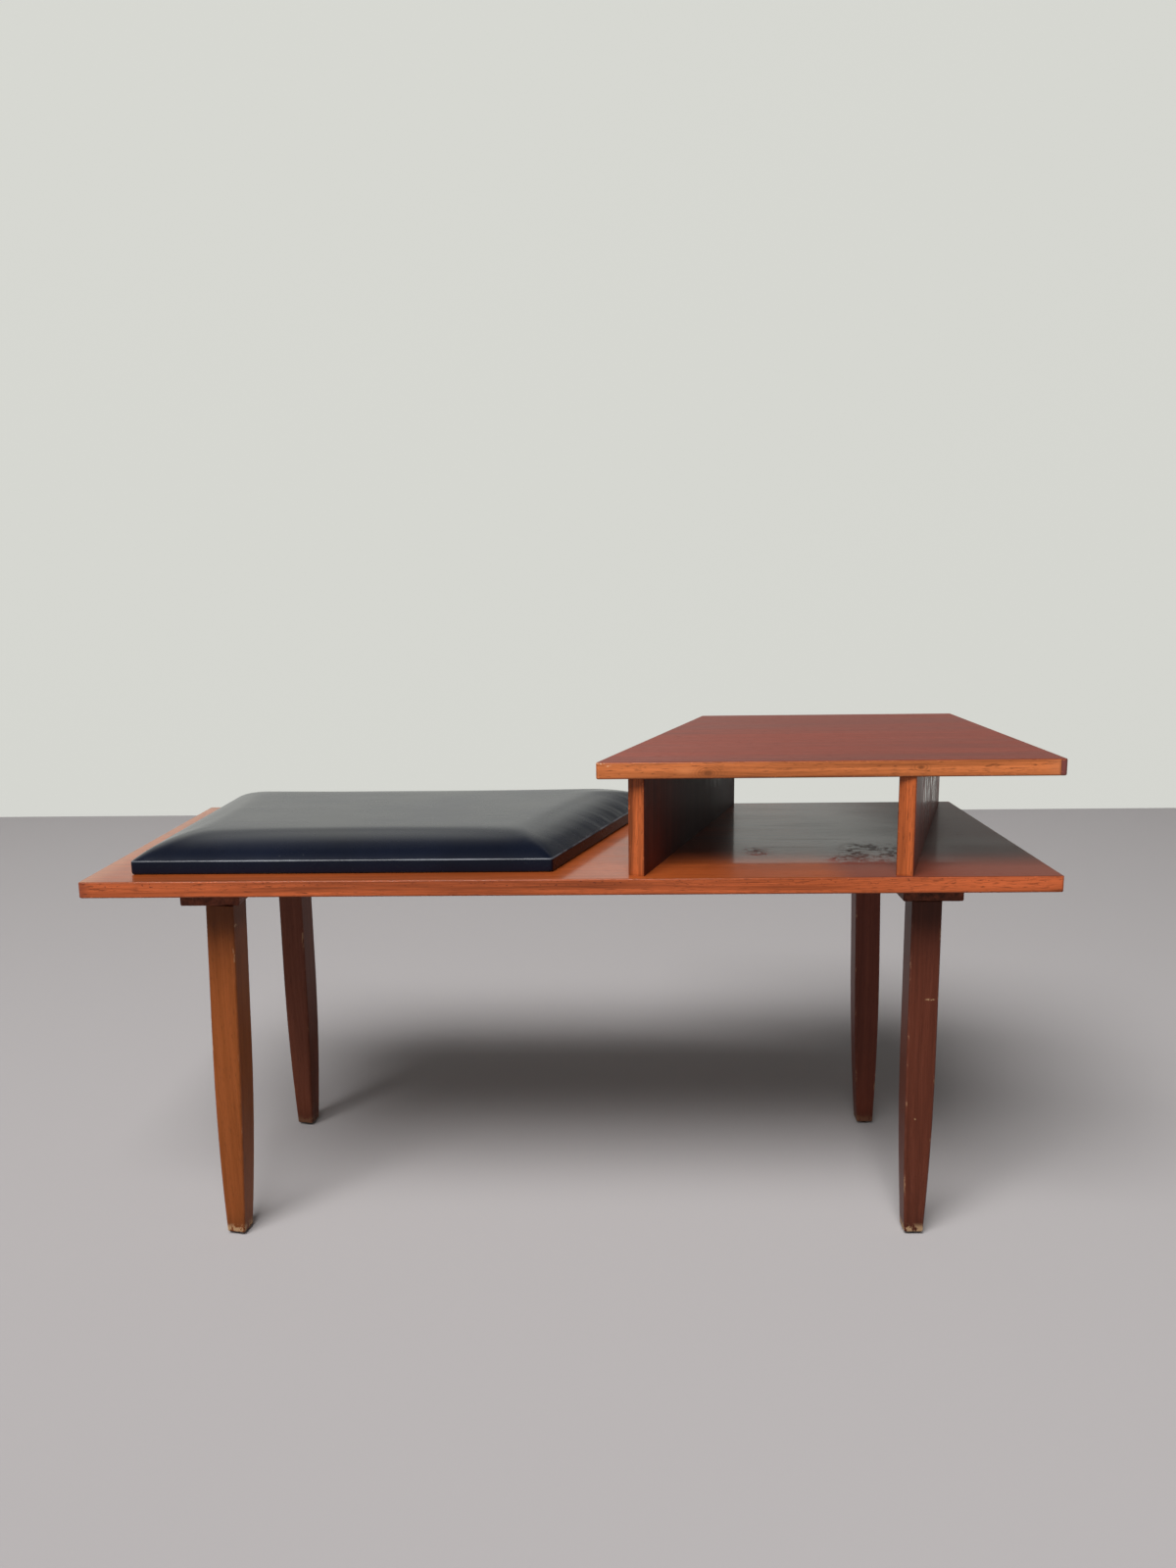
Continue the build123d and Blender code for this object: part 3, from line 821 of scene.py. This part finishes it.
PAD_EDGE = 14 * MM          # from the underside to the crease
RIM_STEPS = (0.0, 1.1 * MM, 3.2 * MM, 7.0 * MM, 12.0 * MM)
SIDE_STEPS = (
    1.0 * MM, 3.0 * MM, 7.0 * MM, 10.5 * MM, 11.8 * MM, 12.7 * MM, 13.5 * MM, PAD_EDGE,
)
LOWER_ROUND = 2.4 * MM
CELL = 6.5 * MM
CORNER = 4 * MM
CORNER_GROWTH = 1.2         # of a corner's radius, for each step inwards
FRONT, RIGHT, BACK, LEFT = range(4)
INWARD = (
    Vector((0, 1)),
    Vector((-math.cos(SLANT), math.sin(SLANT))),
    Vector((0, -1)),
    Vector((1, 0)),
)
CORNERS = (                 # two sides and the cosine between their inward directions
    (LEFT, FRONT, 0),
    (FRONT, RIGHT, -math.sin(SLANT)),
    (RIGHT, BACK, math.sin(SLANT)),
    (BACK, LEFT, 0),
)
GATHER_REACH = 45 * MM
VINYL_MARK = (-0.0476, -0.0671)


def spaced(length):
    """Distances along a side: close together at both ends, and even between them."""
    inner = length - 2 * RIM_STEPS[-1]
    count = max(2, round(inner / CELL))
    even = [RIM_STEPS[-1] + inner * number / count for number in range(1, count)]
    return [*RIM_STEPS, *even, *[length - step for step in reversed(RIM_STEPS)]]


class PadPlan:
    """The pad's plan: straight front, back and left sides, and a slanted right side."""

    def __init__(self, node):
        self.low, self.high = corners_of(node)
        self.right_reach = corners_of(node, SLANT)[1].x
        self.width = self.high.x - self.low.x
        self.depth = self.high.y - self.low.y
        self.middle = self.at(0.5, 0.5)

    def right_at(self, y):
        """Where the slanted side is at a depth."""
        return (self.right_reach + y * math.sin(SLANT)) / math.cos(SLANT)

    def at(self, across, along):
        """A point from shares of the plan's width and depth."""
        y = self.low.y + along * self.depth
        return Vector((self.low.x + across * (self.right_at(y) - self.low.x), y))

    def distances(self, point):
        """How far a point is inside the front, right, back and left sides."""
        return (
            point.y - self.low.y,
            (self.right_at(point.y) - point.x) * math.cos(SLANT),
            self.high.y - point.y,
            point.x - self.low.x,
        )

    def rounded_distance(self, point):
        """Distance inside the outline, with its corners rounded more the further in it is."""
        distances = self.distances(point)
        reaches = list(distances)
        for first, second, cosine in CORNERS:
            one, two = distances[first], distances[second]
            radius = CORNER + CORNER_GROWTH * min(one, two)
            gap_one, gap_two = radius - one, radius - two
            if gap_one > 0 and gap_two > 0:
                squared = gap_one ** 2 + gap_two ** 2 + 2 * cosine * gap_one * gap_two
                reaches.append(radius - math.sqrt(max(0, squared) / (1 - cosine ** 2)))
        return min(reaches)

    def draw_in(self, vertex, inset):
        """Moves a vertex towards the middle, in proportion to its way out to the outline."""
        vertex.co.x -= (vertex.co.x - self.middle.x) * 2 * inset / self.width
        vertex.co.y -= (vertex.co.y - self.middle.y) * 2 * inset / self.depth


def crown_height(distance, crown, slope):
    """Height above the crease at a distance inside the outline."""
    share = min(1, max(0, distance) / slope)
    return crown * (1 - (1 - share) ** 3)


def turned_under(drop):
    """How far the side has turned under at a distance below the crease."""
    rest = PAD_EDGE - drop
    if rest >= LOWER_ROUND:
        return 0.0
    return LOWER_ROUND - math.sqrt(LOWER_ROUND ** 2 - (LOWER_ROUND - rest) ** 2)


def flat_grid(plan):
    """A grid over the pad's plan, finer at the sides."""
    columns, rows = spaced(plan.width), spaced(plan.depth)
    mesh = bmesh.new()
    bmesh.ops.create_grid(mesh, x_segments=len(columns) - 1, y_segments=len(rows) - 1, size=0.5)
    for vertex in mesh.verts:
        column = round((vertex.co.x + 0.5) * (len(columns) - 1))
        row = round((vertex.co.y + 0.5) * (len(rows) - 1))
        spot = plan.at(columns[column] / plan.width, rows[row] / plan.depth)
        vertex.co = (spot.x, spot.y, 0)
    return mesh


def round_corners(mesh, plan):
    """Draws the vertices near each corner of the plan inside its rounding."""
    for vertex in mesh.verts:
        point = vertex.co.xy
        distances = plan.distances(point)
        for first, second, _ in CORNERS:
            nearest, further = sorted((distances[first], distances[second]))
            if further >= CORNER * 1.6 or nearest >= CORNER:
                continue
            pull = nearest - plan.rounded_distance(point)
            if pull > 0:
                vertex.co.xy = point + (INWARD[first] + INWARD[second]).normalized() * pull


def of_type(geometry, kind):
    """The vertices or the edges among pieces of a mesh."""
    return [part for part in geometry if isinstance(part, kind)]


def pad_shell(settings, plan, crease):
    """A closed shell: crowned top, upright sides with a rounded lower edge, flat underside."""
    mesh = flat_grid(plan)
    round_corners(mesh, plan)
    copied = bmesh.ops.duplicate(mesh, geom=[*mesh.verts, *mesh.edges, *mesh.faces])["geom"]
    under = set(of_type(copied, bmesh.types.BMVert))
    crown = settings.crown - settings.swell * 0.6
    for vertex in mesh.verts:
        if vertex in under:
            vertex.co.z = plan.low.z
            plan.draw_in(vertex, LOWER_ROUND)
        else:
            inside = plan.rounded_distance(vertex.co.xy)
            vertex.co.z = crease + crown_height(inside, crown, settings.slope)
    rim = [edge for edge in mesh.edges if edge.is_boundary and edge.verts[0] not in under]
    level, inset = crease, 0.0
    for drop in SIDE_STEPS:
        grown = bmesh.ops.extrude_edge_only(mesh, edges=rim)["geom"]
        moved = of_type(grown, bmesh.types.BMVert)
        rim = of_type(grown, bmesh.types.BMEdge)
        bmesh.ops.translate(mesh, verts=moved, vec=(0, 0, crease - drop - level))
        for vertex in moved:
            plan.draw_in(vertex, turned_under(drop) - inset)
        level, inset = crease - drop, turned_under(drop)
    bmesh.ops.remove_doubles(mesh, verts=mesh.verts, dist=0.05 * MM)
    bmesh.ops.recalc_face_normals(mesh, faces=mesh.faces)
    return mesh


def puff(pad, crease, settings):
    """Swells the crown by cloth pressure, with the vinyl held where the board stretches it."""
    rest = [vertex.co.copy() for vertex in pad.data.vertices]
    held = pad.vertex_groups.new(name="held")
    for vertex in pad.data.vertices:
        free = (vertex.co.z - crease - 2 * MM) / (settings.crown * 0.8)
        held.add([vertex.index], (1 - min(1, max(0, free))) ** 2, "REPLACE")
    cloth = pad.modifiers.new("Cloth", "CLOTH")
    cloth.settings.quality = 6
    cloth.settings.mass = 0.4
    cloth.settings.tension_stiffness = 30
    cloth.settings.compression_stiffness = 30
    cloth.settings.shear_stiffness = 8
    cloth.settings.bending_stiffness = 4
    cloth.settings.use_pressure = True
    cloth.settings.uniform_pressure_force = settings.pressure
    cloth.settings.vertex_group_mass = "held"
    cloth.settings.effector_weights.gravity = 0
    scene = bpy.context.scene
    for step in range(1, settings.steps + 1):
        scene.frame_set(step)
    shaped = pad.evaluated_get(bpy.context.evaluated_depsgraph_get())
    swollen = [vertex.co.copy() for vertex in shaped.to_mesh().vertices]
    shaped.to_mesh_clear()
    pad.modifiers.remove(cloth)
    for vertex, start, end in zip(pad.data.vertices, rest, swollen):
        move = end - start
        if move.length > 0:
            move *= settings.swell * math.tanh(move.length / settings.swell) / move.length
        vertex.co = start + move
    scene.frame_set(1)


def gather(pad, plan, crease):
    """Fine gathers above the crease, strongest on the slanted side towards the back."""
    for vertex in pad.data.vertices:
        distances = plan.distances(vertex.co.xy)
        nearest = min(distances)
        if vertex.co.z < crease + 0.5 * MM or nearest > GATHER_REACH:
            continue
        fade = math.exp(-nearest / (12 * MM)) * (1 - math.exp(-nearest / (2 * MM)))
        if nearest in (distances[FRONT], distances[BACK]):
            along, size = vertex.co.x, 0.22 * MM
        else:
            along, size = vertex.co.y, 0.264 * MM
        if nearest == distances[RIGHT]:
            size = 0.264 * MM + 0.66 * MM * max(0, min(1, (vertex.co.y + 0.10) / 0.08))
        wave = math.sin(along * 410) * 0.6 + math.sin(along * 173 + 1.3) * 0.4
        vertex.co.z += wave * fade * size


def black_vinyl(colour, top, crease):
    """Leather-grained black vinyl, rubbed along its crease with a painted highlight there, with a
    little dust and one mark.
    """
    finish = Finish.named("grained_vinyl")
    height = finish.apart()[Z]
    pebbles = finish.cells(900, "SMOOTH_F1")
    creases = finish.noise(1400, 3.0, 0.6)
    cloudy = finish.noise(9, 3.0, 0.55)
    stretched = finish.noise(38, 3.0, 0.6, place=finish.turned(scale=(0.35, 1, 1)))
    broken = finish.noise(36, 3.0, 0.6, place=finish.turned(scale=(0.3, 1, 1)))
    rim = abs(height - (crease + 0.2 * MM)).rise(1.1 * MM, 0.2 * MM)
    # the pale line along the crease is rubbed wear and a painted highlight
    rubbed = rim * (broken.rise(0.38, 0.62) * 0.8 + 0.2)
    above = height.rise(crease + 0.2 * MM, crease + 1 * MM)
    band = above * height.rise(crease + 9 * MM, crease + 2 * MM)
    sparse = finish.noise(22).rise(0.50, 0.60)
    dust = finish.cells(150).rise(0.085, 0.05) * band * sparse * 0.55
    mark = finish.near((*VINYL_MARK, top), (2.2 * MM, 2.2 * MM, 20 * MM))
    shade = finish.ramp(cloudy, [(0.3, darker(colour, 0.75)), (0.7, lighter(colour, 1.25, 0))])
    # mixes in the pale crease line: wear and painted highlight
    shade = finish.mixed(rubbed * 0.5, shade, tone(120, 124, 132))
    shade = finish.mixed(dust, shade, tone(190, 192, 194))
    shade = finish.mixed(mark * 0.45, shade, tone(150, 150, 150))
    uneven = (cloudy - 0.5) * 0.10 + (stretched - 0.5) * 0.08
    return finish.done(
        Base_Color=shade,
        Roughness=0.27 + uneven + rubbed * 0.1 + dust * 0.3,
        Normal=finish.bump(pebbles * 0.5 + creases * 0.3 + stretched * 0.5, 0.10 * MM, 0.35),
        Specular_IOR_Level=0.18,
        Coat_Weight=height.rise(crease - 1.2 * MM, crease + 1.5 * MM) * 0.38 + 0.06,
        Coat_Roughness=0.26,
    )


class BENCH_OT_pad(Operator):
    """Make the upholstered pad: vinyl stretched over foam and a board."""

    bl_idname = "bench.pad"
    bl_label = "Make the pad"

    def execute(self, context):
        settings = context.scene.bench_pad
        plan = PadPlan("pad_vinyl_cover")
        crease = plan.low.z + PAD_EDGE
        shell = pad_shell(settings, plan, crease)
        data = bpy.data.meshes.new("seat_pad")
        shell.to_mesh(data)
        shell.free()
        pad = bpy.data.objects.new("seat_pad", data)
        context.scene.collection.objects.link(pad)
        puff(pad, crease, settings)
        gather(pad, plan, crease)
        rounding = pad.modifiers.new("Rounding", "SUBSURF")
        rounding.levels = 1
        rounding.render_levels = 1
        for face in data.polygons:
            face.use_smooth = True
        data.materials.append(black_vinyl(tuple(settings.colour), plan.high.z, crease))
        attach(pad, "root")
        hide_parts("pad_vinyl_cover", "pad_foam")
        return {"FINISHED"}


# ------------ stage


FLOOR_SIZE = 16.0
BACKDROP_Y = 2.29
BACKDROP_TOP = 3.2
BACKDROP_GLOW = 0.9
KEY_AIM = Vector((0.0, 0.0, 0.35))
KEY_SIZE = (3.3, 2.2)
KEY_ELEVATION = math.radians(54)
KEY_AZIMUTH = math.radians(21)
KEY_DISTANCE = 5.0
CAMERA_PLACE = (0.0462, -1.3285, 0.7248)
CAMERA_YAW = -0.0209
CAMERA_PITCH = 0.1729
CAMERA_ROLL = -0.0119
CAMERA_LENS = 26.4


def matt_surface(name, colour, glow=0.0):
    """A matt surface. With a glow, camera and gloss see its colour, and gloss less high right."""
    finish = Finish.named(name)
    surface = finish.add("ShaderNodeBsdfDiffuse", values={"Color": colour, "Roughness": 0.6})[0]
    if glow:
        kinds = ("Is Camera Ray", "Is Glossy Ray", "Is Transmission Ray")
        camera, gloss, through = finish.add("ShaderNodeLightPath", picks=kinds)
        x, _, z = finish.apart()
        dim = gloss * x.rise(0.05, 0.75) * z.rise(0.95, 1.35)
        shade = finish.mixed(dim, colour, darker(colour, 0.16))
        light = finish.add("ShaderNodeEmission", values={"Color": shade, "Strength": 1.0})[0]
        seen = camera.most(gloss).most(through) * glow
        surface = finish.add("ShaderNodeMixShader", values={0: seen, 1: surface, 2: light})[0]
    finish.add("ShaderNodeOutputMaterial", values={"Surface": surface})
    return finish.owner


def stage_sheet(name, width, height, place, material):
    """A flat sheet at a place on the stage."""
    mesh = bmesh.new()
    bmesh.ops.create_grid(mesh, x_segments=1, y_segments=1, size=0.5)
    bmesh.ops.scale(mesh, vec=(width, height, 1), verts=mesh.verts)
    bmesh.ops.transform(mesh, matrix=place, verts=mesh.verts)
    data = bpy.data.meshes.new(name)
    mesh.to_mesh(data)
    mesh.free()
    data.materials.append(material)
    sheet = bpy.data.objects.new(name, data)
    bpy.context.scene.collection.objects.link(sheet)


def light_the_world(fill_strength):
    """A soft fill, mostly from the front; gloss sees the room pale low down and dark overhead."""
    world = bpy.data.worlds.new("studio")
    bpy.context.scene.world = world
    finish = Finish(world, "Generated")
    right, back, height = finish.apart()
    camera, gloss = finish.add("ShaderNodeLightPath", picks=("Is Camera Ray", "Is Glossy Ray"))
    from_front = back.rise(0.3, -0.8) * 1.5 + 0.35
    from_left = 1.2 - right.rise(-0.5, 0.8) * 0.9
    fill = from_front * from_left * fill_strength
    reflected = (0.62 - height.rise(0.70, 0.88) * 0.56) * (1 - right.rise(0.1, 0.6) * 0.6)
    strength = fill + gloss * (reflected - fill)
    strength = strength + camera * (0.80 - strength)
    values = {"Color": (0.98, 0.99, 1.0), "Strength": strength}
    glow = finish.add("ShaderNodeBackground", values=values)[0]
    finish.add("ShaderNodeOutputWorld", values={"Surface": glow})


def add_key_light(power):
    """A long soft light in front of the bench, high and to the left."""
    data = bpy.data.lights.new("key", "AREA")
    data.shape = "RECTANGLE"
    data.size, data.size_y = KEY_SIZE
    data.energy = power
    key = bpy.data.objects.new("key", data)
    level = math.cos(KEY_ELEVATION) * KEY_DISTANCE
    offset = Vector((
        -math.sin(KEY_AZIMUTH) * level,
        -math.cos(KEY_AZIMUTH) * level,
        math.sin(KEY_ELEVATION) * KEY_DISTANCE,
    ))
    key.location = KEY_AIM + offset
    key.rotation_euler = offset.to_track_quat("Z", "Y").to_euler()
    bpy.context.scene.collection.objects.link(key)


def add_camera():
    """The photograph's viewpoint."""
    data = bpy.data.cameras.new("camera")
    data.lens = CAMERA_LENS
    data.sensor_width = 36
    camera = bpy.data.objects.new("camera", data)
    turn = Matrix.Rotation(-CAMERA_YAW, 4, "Z")
    tilt = Matrix.Rotation(math.radians(90) - CAMERA_PITCH, 4, "X")
    roll = Matrix.Rotation(CAMERA_ROLL, 4, "Z")
    camera.matrix_world = Matrix.Translation(CAMERA_PLACE) @ turn @ tilt @ roll
    bpy.context.scene.collection.objects.link(camera)
    bpy.context.scene.camera = camera


class BENCH_OT_stage(Operator):
    """Make the floor, the backdrop, the light and the camera."""

    bl_idname = "bench.stage"
    bl_label = "Make the stage"

    def execute(self, context):
        settings = context.scene.bench_stage
        middle = Matrix.Translation((0, BACKDROP_Y, BACKDROP_TOP / 2))
        upright = middle @ Matrix.Rotation(math.radians(90), 4, "X")
        floor = matt_surface("pale_floor", tuple(settings.floor))
        backdrop = matt_surface("pale_backdrop", tuple(settings.backdrop), BACKDROP_GLOW)
        stage_sheet("floor", FLOOR_SIZE, FLOOR_SIZE, Matrix.Identity(4), floor)
        stage_sheet("backdrop", FLOOR_SIZE, BACKDROP_TOP, upright, backdrop)
        light_the_world(settings.fill)
        add_key_light(settings.key)
        add_camera()
        context.scene.view_settings.view_transform = "Standard"
        return {"FINISHED"}


# ------------ panel and main


class VIEW3D_PT_bench(Panel):
    """Lists the bench's settings and steps."""

    bl_label = "Telephone Bench"
    bl_space_type = "VIEW_3D"
    bl_region_type = "UI"
    bl_category = "Bench"

    def draw(self, context):
        scene = context.scene
        for group in (scene.bench_wood, scene.bench_pad, scene.bench_stage):
            box = self.layout.box()
            for name in group.__annotations__:
                box.prop(group, name)
        for step in STEPS:
            self.layout.operator(step.bl_idname)


STEPS = (
    BENCH_OT_panels,
    BENCH_OT_uprights,
    BENCH_OT_underframe,
    BENCH_OT_fittings,
    BENCH_OT_pad,
    BENCH_OT_stage,
)
CLASSES = (WoodSettings, PadSettings, StageSettings, *STEPS, VIEW3D_PT_bench)


def register():
    for kind in CLASSES:
        bpy.utils.register_class(kind)
    bpy.types.Scene.bench_wood = PointerProperty(type=WoodSettings)
    bpy.types.Scene.bench_pad = PointerProperty(type=PadSettings)
    bpy.types.Scene.bench_stage = PointerProperty(type=StageSettings)


def unregister():
    del bpy.types.Scene.bench_wood
    del bpy.types.Scene.bench_pad
    del bpy.types.Scene.bench_stage
    for kind in reversed(CLASSES):
        bpy.utils.unregister_class(kind)


def main():
    register()
    bpy.ops.bench.panels()
    bpy.ops.bench.uprights()
    bpy.ops.bench.underframe()
    bpy.ops.bench.fittings()
    bpy.ops.bench.pad()
    bpy.ops.bench.stage()


if __name__ == "__main__":
    main()
